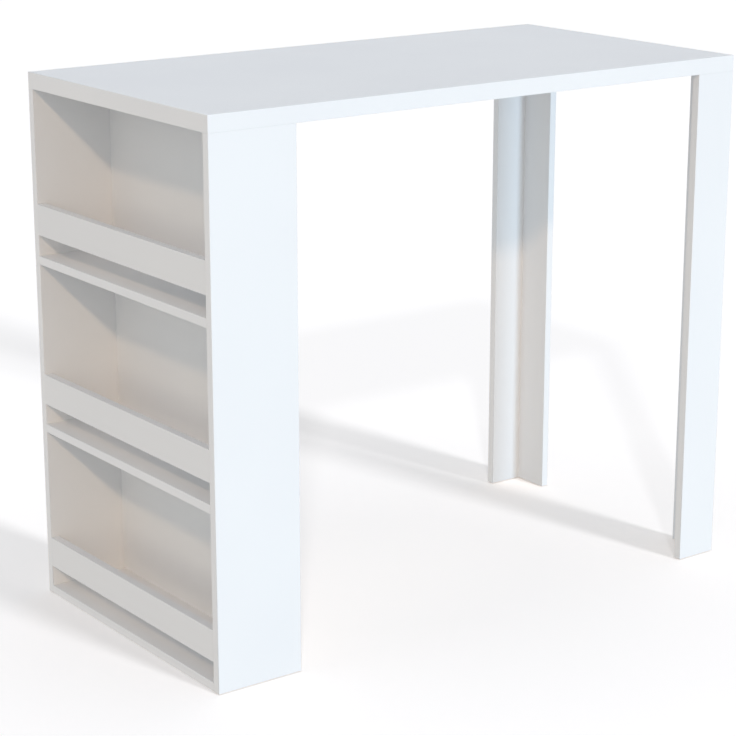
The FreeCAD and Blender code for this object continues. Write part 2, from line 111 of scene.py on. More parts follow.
class NodeSheet:
    """Node tree of one material or world, with short calls that add and join its nodes."""

    def __init__(self, tree: bpy.types.NodeTree) -> None:
        """Start from an empty tree.

        Args:
            tree: Node tree to fill.
        """
        self.tree = tree
        tree.nodes.clear()

    def feed(self, socket: Socket, value: object) -> None:
        """Set an input socket, or join it to the socket that feeds it.

        Args:
            socket: Input socket.
            value: Value of the socket, or an output socket of another node.
        """
        if isinstance(value, Socket):
            self.tree.links.new(value, socket)
        else:
            socket.default_value = value

    def add(
        self,
        kind: str,
        sockets: Mapping[str | int, object] | None = None,
        **properties: object,
    ) -> bpy.types.Node:
        """Add a node.

        Args:
            kind: Identifier of the node's type.
            sockets: Input sockets by name or place, each with a value or with the socket that feeds it.
            properties: Properties of the node itself.

        Returns:
            The new node.
        """
        node = self.tree.nodes.new(kind)
        for name, value in properties.items():
            setattr(node, name, value)
        for key, value in (sockets or {}).items():
            self.feed(node.inputs[key], value)
        return node

    def noise(self, vector: Socket, scale: float, detail: float) -> Socket:
        """Add a noise pattern, by its marks per metre and its finer layers."""
        sockets = {"Vector": vector, "Scale": scale, "Detail": detail}
        return self.add("ShaderNodeTexNoise", sockets).outputs["Fac"]

    def place(self) -> Socket:
        """Give coordinates in metres of the table's frame."""
        return self.add("ShaderNodeTexCoord").outputs["Object"]

    def scaled(self, scale: Sequence[float]) -> Socket:
        """Give coordinates of the table's frame with a scale for each axis."""
        return self.add("ShaderNodeMapping", {"Vector": self.place(), "Scale": scale}).outputs["Vector"]

    def drawn(self, along: Axis, stretch: float) -> Socket:
        """Give coordinates that draw marks out along one axis, longer ones for a smaller stretch."""
        return self.scaled([stretch if axis is along else 1.0 for axis in Axis])

    def ranged(
        self,
        value: Socket,
        low: float,
        high: float,
        reach: tuple[float, float] = NOISE_REACH,
    ) -> Socket:
        """Spread a pattern over a range.

        Args:
            value: Value of the pattern.
            low: Result where the pattern is low.
            high: Result where the pattern is high.
            reach: Values between which the result changes.

        Returns:
            The spread value.
        """
        first, last = reach
        sockets = {"Value": value, "From Min": first, "From Max": last, "To Min": low, "To Max": high}
        return self.add("ShaderNodeMapRange", sockets).outputs["Result"]

    def tones(
        self,
        value: Socket,
        low: Colour,
        high: Colour,
        reach: tuple[float, float] = NOISE_REACH,
    ) -> Socket:
        """Turn a pattern into a run of two tones.

        Args:
            value: Value of the pattern.
            low: Tone where the pattern is low.
            high: Tone where the pattern is high.
            reach: Values between which the tone changes.

        Returns:
            The colour.
        """
        ramp = self.add("ShaderNodeValToRGB", {"Fac": value})
        first, last = ramp.color_ramp.elements
        first.position, last.position = reach
        first.color, last.color = low, high
        return ramp.outputs["Color"]

    def mixed(self, share: Socket, first: Socket | Colour, second: Socket | Colour) -> Socket:
        """Mix two colours.

        Args:
            share: Share of the second colour.
            first: Colour where the share is zero.
            second: Colour where the share is one.

        Returns:
            The mixed colour.
        """
        node = self.add("ShaderNodeMix", data_type="RGBA")
        inputs = {socket.identifier: socket for socket in node.inputs}
        outputs = {socket.identifier: socket for socket in node.outputs}
        self.feed(inputs["Factor_Float"], share)
        self.feed(inputs["A_Color"], first)
        self.feed(inputs["B_Color"], second)
        return outputs["Result_Color"]

    def calculate(self, operation: str, *values: Socket | float) -> Socket:
        """Work out a number by a named operation."""
        return self.add("ShaderNodeMath", dict(enumerate(values)), operation=operation).outputs["Value"]

    def height(self, vector: Socket) -> Socket:
        """Give the upward part of a vector."""
        return self.add("ShaderNodeSeparateXYZ", {"Vector": vector}).outputs["Z"]

    def bump(self, height: Socket, strength: float, distance: float) -> Socket:
        """Bend the normal as if a share of a pattern's height stood out from the surface."""
        sockets = {"Height": height, "Strength": strength, "Distance": distance}
        return self.add("ShaderNodeBump", sockets).outputs["Normal"]

    def surface(self, shader: Socket, output: str = "ShaderNodeOutputMaterial") -> None:
        """Feed a shader to the tree's output."""
        self.add(output, {"Surface": shader})

    def principled(self, sockets: Mapping[str, object]) -> None:
        """Show a principled shader with some of its sockets set or fed."""
        self.surface(self.add("ShaderNodeBsdfPrincipled", sockets).outputs["BSDF"])


class Finish:
    """A finish that is made once and worn by many pieces.

    In every finish a scale counts marks per metre, a detail counts finer layers, relief is the share of a
    mark's height that shows, and smooth and rough are the least and the greatest roughness.
    """

    name: str

    def material(self) -> bpy.types.Material:
        """Find the finish's material, or make it.

        Returns:
            The material.
        """
        found = bpy.data.materials.get(self.name)
        if found:
            return found
        made = bpy.data.materials.new(self.name)
        made.use_nodes = True
        self.shade(NodeSheet(made.node_tree))
        return made

    def shade(self, sheet: NodeSheet) -> None:
        """Lay out the finish's nodes.

        Args:
            sheet: Empty node tree of the material.
        """
        raise NotImplementedError


@dataclass(frozen=True)
class Melamine(Finish):
    """Satin melamine face with a faint drift of tone and a fine pebbled press mark.

    Attributes:
        raw_foot: Whether the board's lower edge is left raw and shows the chips of its core.
        pale_chip: Lighter tone of the core.
        deep_chip: Darker tone of the core.
        chip_relief: Height of the chips against the pebbles.
        foot_level: Height below which a board can show its core.
        downward: Upward part of a normal below which its face looks down.
    """

    raw_foot: bool = False
    pale: Colour = (0.86, 0.86, 0.86, 1.0)
    deep: Colour = (0.835, 0.835, 0.84, 1.0)
    drift_scale: float = 3.0
    drift_detail: float = 3.0
    pebble_scale: float = 850.0
    pebble_detail: float = 2.0
    pebble_height: float = 0.03 * MM
    relief: float = 0.3
    smooth: float = 0.5
    rough: float = 0.6
    specular: float = 0.3
    pale_chip: Colour = (0.68, 0.53, 0.36, 1.0)
    deep_chip: Colour = (0.34, 0.23, 0.13, 1.0)
    chip_scale: float = 520.0
    chip_relief: float = 6.0
    chip_rough: float = 0.9
    foot_level: float = 2.0 * MM
    downward: float = -0.9

    @property
    def name(self) -> str:
        """Name the finish after its faces and its foot."""
        return "satin_white_melamine_raw_foot" if self.raw_foot else "satin_white_melamine"

    def shade(self, sheet: NodeSheet) -> None:
        """Lay out drift, pebble and sheen, and chips on a raw foot.

        Args:
            sheet: Empty node tree of the material.
        """
        place = sheet.place()
        pebble = sheet.noise(place, self.pebble_scale, self.pebble_detail)
        drift = sheet.noise(place, self.drift_scale, self.drift_detail)
        colour = sheet.tones(drift, self.deep, self.pale)
        roughness = sheet.ranged(pebble, self.smooth, self.rough)
        height = pebble
        if self.raw_foot:
            facing = sheet.height(sheet.add("ShaderNodeTexCoord").outputs["Normal"])
            low = sheet.calculate("LESS_THAN", sheet.height(place), self.foot_level)
            raw = sheet.calculate("MULTIPLY", low, sheet.calculate("LESS_THAN", facing, self.downward))
            cells = sheet.add("ShaderNodeTexVoronoi", {"Vector": place, "Scale": self.chip_scale})
            chips = sheet.tones(cells.outputs["Color"], self.deep_chip, self.pale_chip)
            colour = sheet.mixed(raw, colour, chips)
            coarse = sheet.calculate("MULTIPLY", raw, self.chip_rough)
            roughness = sheet.calculate("MAXIMUM", roughness, coarse)
            proud = sheet.calculate("MULTIPLY", raw, cells.outputs["Distance"])
            height = sheet.calculate("MULTIPLY_ADD", proud, self.chip_relief, pebble)
        sheet.principled({
            "Base Color": colour,
            "Roughness": roughness,
            "Normal": sheet.bump(height, self.relief, self.pebble_height),
            "Specular IOR Level": self.specular,
        })


@dataclass(frozen=True)
class Edging(Finish):
    """Extruded plastic edging with faint draw lines along its length.

    Attributes:
        along: Axis that the draw lines follow.
        stretch: Scale along the lines, where a smaller one makes longer lines.
    """

    along: Axis
    pale: Colour = (0.86, 0.86, 0.86, 1.0)
    deep: Colour = (0.84, 0.84, 0.845, 1.0)
    drift_scale: float = 5.0
    line_scale: float = 700.0
    detail: float = 2.0
    stretch: float = 0.02
    line_height: float = 0.015 * MM
    relief: float = 0.3
    smooth: float = 0.34
    rough: float = 0.44
    ior: float = 1.5

    @property
    def name(self) -> str:
        """Name the finish after the axis that its draw lines follow."""
        return f"white_edging_along_{self.along.name.lower()}"

    def shade(self, sheet: NodeSheet) -> None:
        """Lay out draw lines and sheen.

        Args:
            sheet: Empty node tree of the material.
        """
        lines = sheet.noise(sheet.drawn(self.along, self.stretch), self.line_scale, self.detail)
        drift = sheet.noise(sheet.place(), self.drift_scale, self.detail)
        sheet.principled({
            "Base Color": sheet.tones(drift, self.deep, self.pale),
            "Roughness": sheet.ranged(lines, self.smooth, self.rough),
            "Normal": sheet.bump(lines, self.relief, self.line_height),
            "IOR": self.ior,
        })


@dataclass(frozen=True)
class Beech(Finish):
    """Turned beech with long grain and short dark flecks.

    Attributes:
        along: Axis that the grain follows.
        fleck_reach: Values of the pattern between which a fleck comes up.
        fleck_share: Share of the fleck's tone at its strongest.
        stretch: Scale along the grain, where a smaller one makes longer marks.
    """

    along: Axis
    pale: Colour = (0.66, 0.46, 0.29, 1.0)
    deep: Colour = (0.52, 0.33, 0.19, 1.0)
    fleck: Colour = (0.36, 0.21, 0.11, 1.0)
    grain_scale: float = 900.0
    grain_detail: float = 4.0
    fleck_scale: float = 1500.0
    fleck_detail: float = 1.0
    fleck_reach: tuple[float, float] = (0.62, 0.7)
    fleck_share: float = 0.7
    stretch: float = 0.06
    pore_height: float = 0.05 * MM
    relief: float = 0.4
    smooth: float = 0.55
    rough: float = 0.75
    specular: float = 0.35

    @property
    def name(self) -> str:
        """Name the finish after the axis that its grain follows."""
        return f"turned_beech_along_{self.along.name.lower()}"

    def shade(self, sheet: NodeSheet) -> None:
        """Lay out grain, flecks and pores.

        Args:
            sheet: Empty node tree of the material.
        """
        drawn = sheet.drawn(self.along, self.stretch)
        grain = sheet.noise(drawn, self.grain_scale, self.grain_detail)
        flecks = sheet.noise(drawn, self.fleck_scale, self.fleck_detail)
        wood = sheet.tones(grain, self.deep, self.pale)
        share = sheet.ranged(flecks, 0.0, self.fleck_share, self.fleck_reach)
        sheet.principled({
            "Base Color": sheet.mixed(share, wood, self.fleck),
            "Roughness": sheet.ranged(grain, self.smooth, self.rough),
            "Normal": sheet.bump(grain, self.relief, self.pore_height),
            "Specular IOR Level": self.specular,
        })


@dataclass(frozen=True)
class Metal(Finish):
    """Small metal part with a grain of its own and a thin dull film.

    Attributes:
        bright: Tone of the clean metal.
        dull: Tone of the film.
    """

    name: str
    bright: Colour
    dull: Colour
    grain_scale: float
    grain_height: float
    smooth: float
    rough: float
    film_scale: float = 260.0
    film_detail: float = 3.0
    grain_detail: float = 2.0
    relief: float = 0.4

    def shade(self, sheet: NodeSheet) -> None:
        """Lay out film, grain and sheen.

        Args:
            sheet: Empty node tree of the material.
        """
        place = sheet.place()
        film = sheet.noise(place, self.film_scale, self.film_detail)
        grain = sheet.noise(place, self.grain_scale, self.grain_detail)
        sheet.principled({
            "Base Color": sheet.tones(film, self.dull, self.bright),
            "Metallic": 1.0,
            "Roughness": sheet.ranged(grain, self.smooth, self.rough),
            "Normal": sheet.bump(grain, self.relief, self.grain_height),
        })


@dataclass(frozen=True)
class Moulded(Finish):
    """Moulded plastic with a spark-eroded grain and a faint drift of tone."""

    name: str
    pale: Colour
    deep: Colour
    smooth: float
    rough: float
    drift_scale: float = 90.0
    grain_scale: float = 2600.0
    detail: float = 2.0
    grain_height: float = 0.02 * MM
    relief: float = 0.25
    ior: float = 1.49

    def shade(self, sheet: NodeSheet) -> None:
        """Lay out drift, grain and sheen.

        Args:
            sheet: Empty node tree of the material.
        """
        place = sheet.place()
        drift = sheet.noise(place, self.drift_scale, self.detail)
        grain = sheet.noise(place, self.grain_scale, self.detail)
        sheet.principled({
            "Base Color": sheet.tones(drift, self.deep, self.pale),
            "Roughness": sheet.ranged(grain, self.smooth, self.rough),
            "Normal": sheet.bump(grain, self.relief, self.grain_height),
            "IOR": self.ior,
        })


MELAMINE = Melamine()
STANDING_MELAMINE = Melamine(raw_foot=True)
ZINC = Metal(
    name="zinc_casting",
    bright=(0.66, 0.66, 0.67, 1.0),
    dull=(0.54, 0.54, 0.56, 1.0),
    grain_scale=1400.0,
    grain_height=0.05 * MM,
    smooth=0.36,
    rough=0.52,
)
STEEL = Metal(
    name="plated_steel",
    bright=(0.76, 0.75, 0.72, 1.0),
    dull=(0.66, 0.65, 0.63, 1.0),
    grain_scale=2200.0,
    grain_height=0.01 * MM,
    smooth=0.22,
    rough=0.34,
)
CAP_PLASTIC = Moulded(
    name="white_cap_plastic",
    pale=(0.85, 0.85, 0.85, 1.0),
    deep=(0.82, 0.82, 0.825, 1.0),
    smooth=0.36,
    rough=0.46,
)
GLIDE_PLASTIC = Moulded(
    name="glide_plastic",
    pale=(0.8, 0.8, 0.78, 1.0),
    deep=(0.74, 0.74, 0.72, 1.0),
    smooth=0.4,
    rough=0.52,
)


def dress(node: str, finish: Finish) -> None:
    """Give a construction node its finish.

    Args:
        node: Name of the node.
        finish: Finish that it wears.
    """
    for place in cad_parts[node].material_slots:
        place.material = finish.material()
    log.info("dressed %s in %s", node, finish.name)


def add_piece(
    name: str,
    mesh: bmesh.types.BMesh,
    finish: Finish,
    slot: Slot,
    *nodes: str,
) -> None:
    """Turn a finished mesh into a piece that rides with the table.

    Args:
        name: Name of the piece.
        mesh: Its mesh, which is freed.
        finish: Finish that it wears.
        slot: Slot of the record that the finish stands for; not used.
        nodes: Construction nodes that it stands for.
    """
    data = bpy.data.meshes.new(name)
    mesh.to_mesh(data)
    mesh.free()
    data.materials.append(finish.material())
    piece = bpy.data.objects.new(name, data)
    bpy.context.scene.collection.objects.link(piece)
    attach(piece, BODY)
    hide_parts(*nodes)
    log.info("built %s, %d faces", name, len(data.polygons))


def slab(low: Vector, high: Vector, across: Axis, upper: bool, thickness: float) -> Corners:
    """Cut a slab from one end of a box.

    Args:
        low: Lowest corner of the box.
        high: Highest corner of the box.
        across: Axis that the slab is cut across.
        upper: Whether it is cut from the higher end.
        thickness: Thickness of the slab.

    Returns:
        Lowest and highest corner of the slab.
    """
    first, last = low.copy(), high.copy()
    if upper:
        first[across.value] = last[across.value] - thickness
    else:
        last[across.value] = first[across.value] + thickness
    return first, last


@dataclass
class EdgeStrip:
    """One strip of edging on a board, rounded along its outer arrises.

    Attributes:
        low: Lowest corner.
        high: Highest corner.
        outer: Axis that the outer face looks along.
        upper: Whether the outer face is the higher one on that axis.
        radius: Radius of the rounded arrises.
        wrapped: Whether the strip's ends are rounded too.
        seam: Width of the hairline where the strip meets its board.
        segments: Steps across a rounded arris.
    """

    low: Vector
    high: Vector
    outer: Axis
    upper: bool
    radius: float
    wrapped: bool = False
    seam: float = 0.08 * MM
    segments: int = 5

    def add_to(self, mesh: bmesh.types.BMesh) -> None:
        """Model the strip in a mesh that may hold others.

        Args:
            mesh: Mesh that takes the strip.
        """
        block = bmesh.ops.create_cube(mesh, size=1.0)["verts"]
        bmesh.ops.scale(mesh, vec=self.high - self.low, verts=block)
        bmesh.ops.translate(mesh, vec=(self.low + self.high) / 2, verts=block)
        edges = [edge for edge in mesh.edges if edge.verts[0] in block and self.is_arris(edge)]
        self.soften(mesh, edges, self.radius, self.segments)
        edges = [edge for edge in mesh.edges if self.is_seam(edge)]
        self.soften(mesh, edges, self.seam, 1)
        bmesh.ops.dissolve_degenerate(mesh, dist=NEAR, edges=mesh.edges)

    def runs(self, edge: bmesh.types.BMEdge) -> bool:
        """Tell whether an edge runs along the strip's length.

        Args:
            edge: Edge of the mesh.

        Returns:
            Whether the edge's longest axis is the strip's.
        """
        extent = self.high - self.low
        step = edge.verts[1].co - edge.verts[0].co
        longest = max(Axis, key=lambda axis: extent[axis.value])
        return longest is max(Axis, key=lambda axis: abs(step[axis.value]))

    def depth(self, point: Vector) -> float:
        """Measure how deep a point lies below the strip's outer face.

        Args:
            point: Point of the mesh.

        Returns:
            The depth.
        """
        across = self.outer.value
        if self.upper:
            return self.high[across] - point[across]
        return point[across] - self.low[across]

    def is_arris(self, edge: bmesh.types.BMEdge) -> bool:
        """Tell whether an edge of the raw block is one to round."""
        outside = [self.depth(vert.co) < NEAR for vert in edge.verts]
        return all(outside) if self.runs(edge) else self.wrapped and any(outside)

    def is_seam(self, edge: bmesh.types.BMEdge) -> bool:
        """Tell whether an edge lies where the strip meets the face of its board."""
        thickness = (self.high - self.low)[self.outer.value]
        return self.runs(edge) and all(abs(self.depth(vert.co) - thickness) < NEAR for vert in edge.verts)

    @staticmethod
    def soften(
        mesh: bmesh.types.BMesh,
        edges: list[bmesh.types.BMEdge],
        width: float,
        segments: int,
    ) -> None:
        """Round or crease some edges.

        Args:
            mesh: Mesh that holds the edges.
            edges: Edges to soften.
            width: Width of the softened edge on each face.
            segments: Steps across it.
        """
        made = bmesh.ops.bevel(
            mesh, geom=edges, offset=width, offset_type="OFFSET", segments=segments,
            profile=0.5, affect="EDGES", material=-1, clamp_overlap=True,
        )
        for face in made["faces"]:
            face.smooth = True


@dataclass
class EdgeBand:
    """Strips of edging that share one construction node.

    Attributes:
        node: Name of the node.
        outer: Axis that the strips' outer faces look along.
        thickness: Thickness of a strip.
        radius: Radius of the outer arrises.
        along: Axis of the strips' length.
        sides: Which ends of the outer axis have a strip, False for the lower one.
    """

    node: str
    outer: Axis
    thickness: float
    radius: float
    along: Axis
    sides: Sequence[bool] = (False, True)

    def build(self) -> None:
        """Model the strips and let them stand for the node."""
        low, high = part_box(self.node)
        mesh = bmesh.new()
        for upper in self.sides:
            first, last = slab(low, high, self.outer, upper, self.thickness)
            EdgeStrip(first, last, self.outer, upper, self.radius).add_to(mesh)
        add_piece(f"{self.node}_strips", mesh, Edging(self.along), Slot.EDGING, self.node)


def loose_boxes(node: str) -> list[Corners]:
    """Find the box of each separate solid in a construction node.

    Args:
        node: Name of the node.

    Returns:
        Lowest and highest corner of each solid.
    """
    mesh = bmesh.new()
    mesh.from_mesh(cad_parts[node].data)
    bmesh.ops.remove_doubles(mesh, verts=mesh.verts, dist=NEAR)
    unseen = set(mesh.verts)
    boxes = []
    while unseen:
        reached = [unseen.pop()]
        for vert in reached:
            beside = {edge.other_vert(vert) for edge in vert.link_edges} & unseen
            unseen -= beside
            reached.extend(beside)
        spans = list(zip(*(vert.co for vert in reached)))
        boxes.append((Vector(min(span) for span in spans), Vector(max(span) for span in spans)))
    mesh.free()
    return sorted(boxes, key=lambda box: tuple(round(value, SORT_DIGITS) for value in box[0]))


def nearest(point: Vector, places: Sequence[Vector]) -> Vector:
    """Pick the place that lies nearest to a point."""
    return min(places, key=lambda place: (place - point).length)


def middles(node: str) -> list[Vector]:
    """List the middles of a node's separate solids."""
    return [(low + high) / 2 for low, high in loose_boxes(node)]


class Fitting:
    """A small fitting that is modelled once, upright on the origin, and set into each of its places."""

    def model(self, mesh: bmesh.types.BMesh) -> None:
        """Model the fitting with its foot on the origin.

        Args:
            mesh: Empty mesh that takes it.
        """
        raise NotImplementedError

    def build(
        self,
        name: str,
        node: str,
        seats: Sequence[Seat],
        finish: Finish,
        slot: Slot,
    ) -> None:
        """Set the fitting into its places as one piece.

        Args:
            name: Name of the piece.
            node: Construction node that it stands for.
            seats: Foot and upward direction of each copy.
            finish: Finish that it wears.
            slot: Slot of the record that the finish stands for.
        """
        single = bmesh.new()
        self.model(single)
        form = bpy.data.meshes.new(name)
        single.to_mesh(form)
        single.free()
        mesh = bmesh.new()
        for foot, upward in seats:
            mesh.from_mesh(form)
            fresh = mesh.verts[-len(form.vertices):]
            turn = upward.to_track_quat("Z", "Y").to_matrix()
            bmesh.ops.rotate(mesh, cent=ORIGIN, matrix=turn, verts=fresh)
            bmesh.ops.translate(mesh, vec=foot, verts=fresh)
        bpy.data.meshes.remove(form)
        add_piece(name, mesh, finish, slot, node)

    @staticmethod
    def turned(mesh: bmesh.types.BMesh, outline: Outline, steps: int) -> None:
        """Turn an outline about the upright axis.

        Args:
            mesh: Mesh that takes the shape.
            outline: Radius and height of each point, in millimetres.
            steps: Facets around.
        """
        points = [mesh.verts.new((radius * MM, 0.0, height * MM)) for radius, height in outline]
        edges = [mesh.edges.new(pair) for pair in zip(points, points[1:])]
        bmesh.ops.spin(
            mesh, geom=points + edges, cent=ORIGIN, axis=UPWARD,
            angle=math.tau, steps=steps, use_merge=True,
        )
        bmesh.ops.remove_doubles(mesh, verts=mesh.verts, dist=NEAR)
        bmesh.ops.recalc_face_normals(mesh, faces=mesh.faces)


@dataclass
class Dowel(Fitting):
    """Fluted dowel with chamfered ends, in millimetres.

    Attributes:
        radius: Radius over the ridges.
        length: Length over all.
        chamfer: Length of each chamfered end.
        end_share: Radius at the very end, as a share of the radius.
        flutes: Number of flutes.
        points_per_flute: Points of the ring from one flute to the next.
        flute_share: Radius at the bottom of a flute, as a share of the radius.
    """

    radius: float = 4.0
    length: float = 30.0
    chamfer: float = 1.0
    end_share: float = 0.8
    flutes: int = 18
    points_per_flute: int = 3
    flute_share: float = 0.93

    def model(self, mesh: bmesh.types.BMesh) -> None:
        """Draw a fluted ring upwards in three lengths, with drawn-in ends.

        Args:
            mesh: Empty mesh that takes the dowel.
        """
        end = self.radius * self.end_share * MM
        count = self.points_per_flute * self.flutes
        ring = bmesh.ops.create_circle(mesh, segments=count, radius=end)["verts"]
        hollows = ring[::self.points_per_flute]
        bmesh.ops.scale(mesh, vec=(self.flute_share, self.flute_share, 1.0), verts=hollows)
        edges = mesh.edges[:]
        lengths = (
            (self.chamfer, 1 / self.end_share),
            (self.length - 2 * self.chamfer, 1.0),
            (self.chamfer, self.end_share),
        )
        for rise, spread in lengths:
            made = bmesh.ops.extrude_edge_only(mesh, edges=edges)["geom"]
            edges = [item for item in made if isinstance(item, bmesh.types.BMEdge)]
            fresh = [item for item in made if isinstance(item, bmesh.types.BMVert)]
            bmesh.ops.translate(mesh, vec=(0.0, 0.0, rise * MM), verts=fresh)
            bmesh.ops.scale(mesh, vec=(spread, spread, 1.0), verts=fresh)
        bmesh.ops.holes_fill(mesh, edges=mesh.edges)
        bmesh.ops.recalc_face_normals(mesh, faces=mesh.faces)

    def set_in(self, node: str) -> None:
        """Build the dowels of a node, a piece for each axis that they lie along.

        Args:
            node: Name of the node.
        """
        seats: dict[Axis, list[Seat]] = {}
        for low, high in loose_boxes(node):
            axis = max(Axis, key=lambda each: (high - low)[each.value])
            upward = Vector(float(each is axis) for each in Axis)
            foot = (low + high) / 2 - upward * (high - low)[axis.value] / 2
            seats.setdefault(axis, []).append((foot, upward))
        for axis, places in seats.items():
            self.build(f"{node}_along_{axis.name.lower()}", node, places, Beech(axis), Slot.BEECH)


@dataclass
class CamBolt(Fitting):
    """Bolt that screws into one board and is drawn in by a cam in the other, in millimetres.

    Attributes:
        tip_radius: Radius of the blunt tip.
        tip_length: Length of the taper at the tip.
        thread_radius: Radius over the thread.
        thread_start: Height at which the thread starts.
        thread_sink: Depth to which the thread is sunk into the core.
        ridge_share: Half of the thread's width, as a share of the pitch.
        pitch: Rise of the thread in one turn.
        shank_radius: Radius of the plain shank.
        shank_top: Height at which the shank ends.
        neck_radius: Radius of the neck that passes into the cam.
        neck_top: Height at which the neck ends.
        head_radius: Radius of the head that the cam grips.
        crown_radius: Radius of the head's flat end.
        crown_height: Length of the taper at the head's end.
        arris: Width of the chamfered arrises.
    """

    length: float = 47.5
    tip_radius: float = 0.9
    tip_length: float = 1.2
    core_radius: float = 1.8
    thread_length: float = 11.0
    thread_radius: float = 2.5
    thread_start: float = 1.0
    thread_sink: float = 0.2
    ridge_share: float = 0.35
    pitch: float = 2.0
    turns: float = 4.4
    shank_radius: float = 3.0
    shank_top: float = 37.2
    neck_radius: float = 2.0
    neck_top: float = 42.5
    head_radius: float = 3.4
    crown_radius: float = 2.6
    crown_height: float = 0.8
    arris: float = 0.3
    steps_around: int = 24

    def model(self, mesh: bmesh.types.BMesh) -> None:
        """Turn the bolt and wind its thread.

        Args:
            mesh: Empty mesh that takes the bolt.
        """
        self.turned(mesh, (
            (0.0, 0.0),
            (self.tip_radius, 0.0),
            (self.core_radius, self.tip_length),
            (self.core_radius, self.thread_length),
            (self.shank_radius - self.arris, self.thread_length),
            (self.shank_radius, self.thread_length + self.arris),
            (self.shank_radius, self.shank_top - self.arris),
            (self.shank_radius - self.arris, self.shank_top),
            (self.neck_radius, self.shank_top),
            (self.neck_radius, self.neck_top),
            (self.head_radius - self.arris, self.neck_top),
            (self.head_radius, self.neck_top + self.arris),
            (self.head_radius, self.length - self.crown_height),
            (self.crown_radius, self.length),
            (0.0, self.length),
        ), self.steps_around)
        self.wind(mesh)
        bmesh.ops.recalc_face_normals(mesh, faces=mesh.faces)

    def wind(self, mesh: bmesh.types.BMesh) -> None:
        """Wind the thread round the core.

        Args:
            mesh: Mesh that takes the thread.
        """
        root = self.core_radius - self.thread_sink
        half = self.ridge_share * self.pitch
        profile = ((root, 0.0), (self.thread_radius, half), (root, 2 * half))
        ridge = [
            mesh.verts.new((radius * MM, 0.0, (self.thread_start + height) * MM))
            for radius, height in profile
        ]
        sides = [mesh.edges.new((ridge[index - 1], ridge[index])) for index in range(len(ridge))]
        rise = self.pitch * MM / self.steps_around
        last = bmesh.ops.spin(
            mesh, geom=ridge + sides, cent=ORIGIN, axis=UPWARD, dvec=(0.0, 0.0, rise),
            angle=math.tau * self.turns, steps=round(self.turns * self.steps_around),
        )["geom_last"]
        far_side = [item for item in last if isinstance(item, bmesh.types.BMEdge)]
        bmesh.ops.holes_fill(mesh, edges=sides + far_side, sides=len(ridge))

    def set_in(self, node: str, cams: str) -> None:
        """Build the bolts of a node, each with its head in a cam.

        Args:
            node: Name of the node.
            cams: Node of the cams that draw the bolts in.
        """
        hearts = middles(cams)
        seats = []
        for middle in middles(node):
            pull = nearest(middle, hearts) - middle
            axis = max(Axis, key=lambda each: abs(pull[each.value]))
            upward = Vector(math.copysign(float(each is axis), pull[each.value]) for each in Axis)
            seats.append((middle - upward * self.length * MM / 2, upward))
        self.build(f"{node}_threaded", node, seats, STEEL, Slot.STEEL)


@dataclass
class CamCap(Fitting):
    """Push-in cap with a raised rim that hides a cam, in millimetres.

    Attributes:
        radius: Radius of the cap.
        height: Height of the rim.
        rim: Points from the outer wall over the rim to the dish, by inset and drop below the rim.
        steps_around: Facets around.
    """

    radius: float = 8.75
    height: float = 0.9
    rim: Outline = ((0.0, 0.55), (0.12, 0.3), (0.35, 0.1), (0.7, 0.0), (1.6, 0.0), (1.9, 0.05), (2.2, 0.2))
    steps_around: int = 56

    def model(self, mesh: bmesh.types.BMesh) -> None:
        """Turn a shallow dish with a rounded rim.

        Args:
            mesh: Empty mesh that takes the cap.
        """
        over = [(self.radius - inset, self.height - drop) for inset, drop in self.rim]
        dish = over[-1][1]
        self.turned(mesh, [(0.0, 0.0), (self.radius, 0.0), *over, (0.0, dish)], self.steps_around)

    def set_in(self, node: str, cams: str) -> None:
        """Build the caps of a node, each over a cam.

        Args:
            node: Name of the node.
            cams: Node of the cams that the caps hide.
        """
        hearts = middles(cams)
        seats = []
        for middle in middles(node):
            outward = (middle - nearest(middle, hearts)).normalized()
            seats.append((middle - outward * self.height * MM / 2, outward))
        self.build(f"{node}_dished", node, seats, CAP_PLASTIC, Slot.CAP)


@dataclass
class FloorGlide(Fitting):
    """Push-in glide with a domed head and a barbed stem, in millimetres.

    Attributes:
        dome: Points of the dome, by radius and height.
        dome_height: Height at which the dome meets the head's wall.
        stem_radius: Radius over the barbs.
        barb_depth: Depth of the barbs.
        barb_start: Length of plain stem below the first barb.
        barb_step: Distance from one barb to the next.
        barb_share: Length of a barb's slope, as a share of that distance.
        tip_length: Length of the taper at the stem's end.
        tip_depth: Depth of that taper.
    """

    dome: Outline = ((0.0, 0.0), (3.6, 0.0), (4.6, 0.1), (5.4, 0.4), (5.9, 0.85))
    head_radius: float = 6.0
    dome_height: float = 1.2
    head_height: float = 1.5
    stem_radius: float = 4.0
    stem_length: float = 14.0
    barb_depth: float = 0.5
    barb_start: float = 1.0
    barb_step: float = 2.6
    barb_share: float = 0.7
    barbs: int = 4
    tip_length: float = 1.2
    tip_depth: float = 0.9
    steps_around: int = 40

    def model(self, mesh: bmesh.types.BMesh) -> None:
        """Turn the domed head and the barbed stem.

        Args:
            mesh: Empty mesh that takes the glide.
        """
        top = self.head_height + self.stem_length
        slim = self.stem_radius - self.barb_depth
        outline = [*self.dome, (self.head_radius, self.dome_height)]
        outline += [(self.head_radius, self.head_height), (slim, self.head_height)]
        for barb in range(self.barbs):
            level = self.head_height + self.barb_start + barb * self.barb_step
            peak = level + self.barb_share * self.barb_step
            outline += [(slim, level), (self.stem_radius, level), (slim, peak)]
        outline += [(slim, top - self.tip_length), (slim - self.tip_depth, top), (0.0, top)]
        self.turned(mesh, outline, self.steps_around)

    def set_in(self, node: str) -> None:
        """Build the glides of a node.

        Args:
            node: Name of the node.
        """
        seats = []
        for low, high in loose_boxes(node):
            middle = (low + high) / 2
            seats.append((Vector((middle.x, middle.y, low.z)), Vector(UPWARD)))
        self.build(f"{node}_domed", node, seats, GLIDE_PLASTIC, Slot.GLIDE)


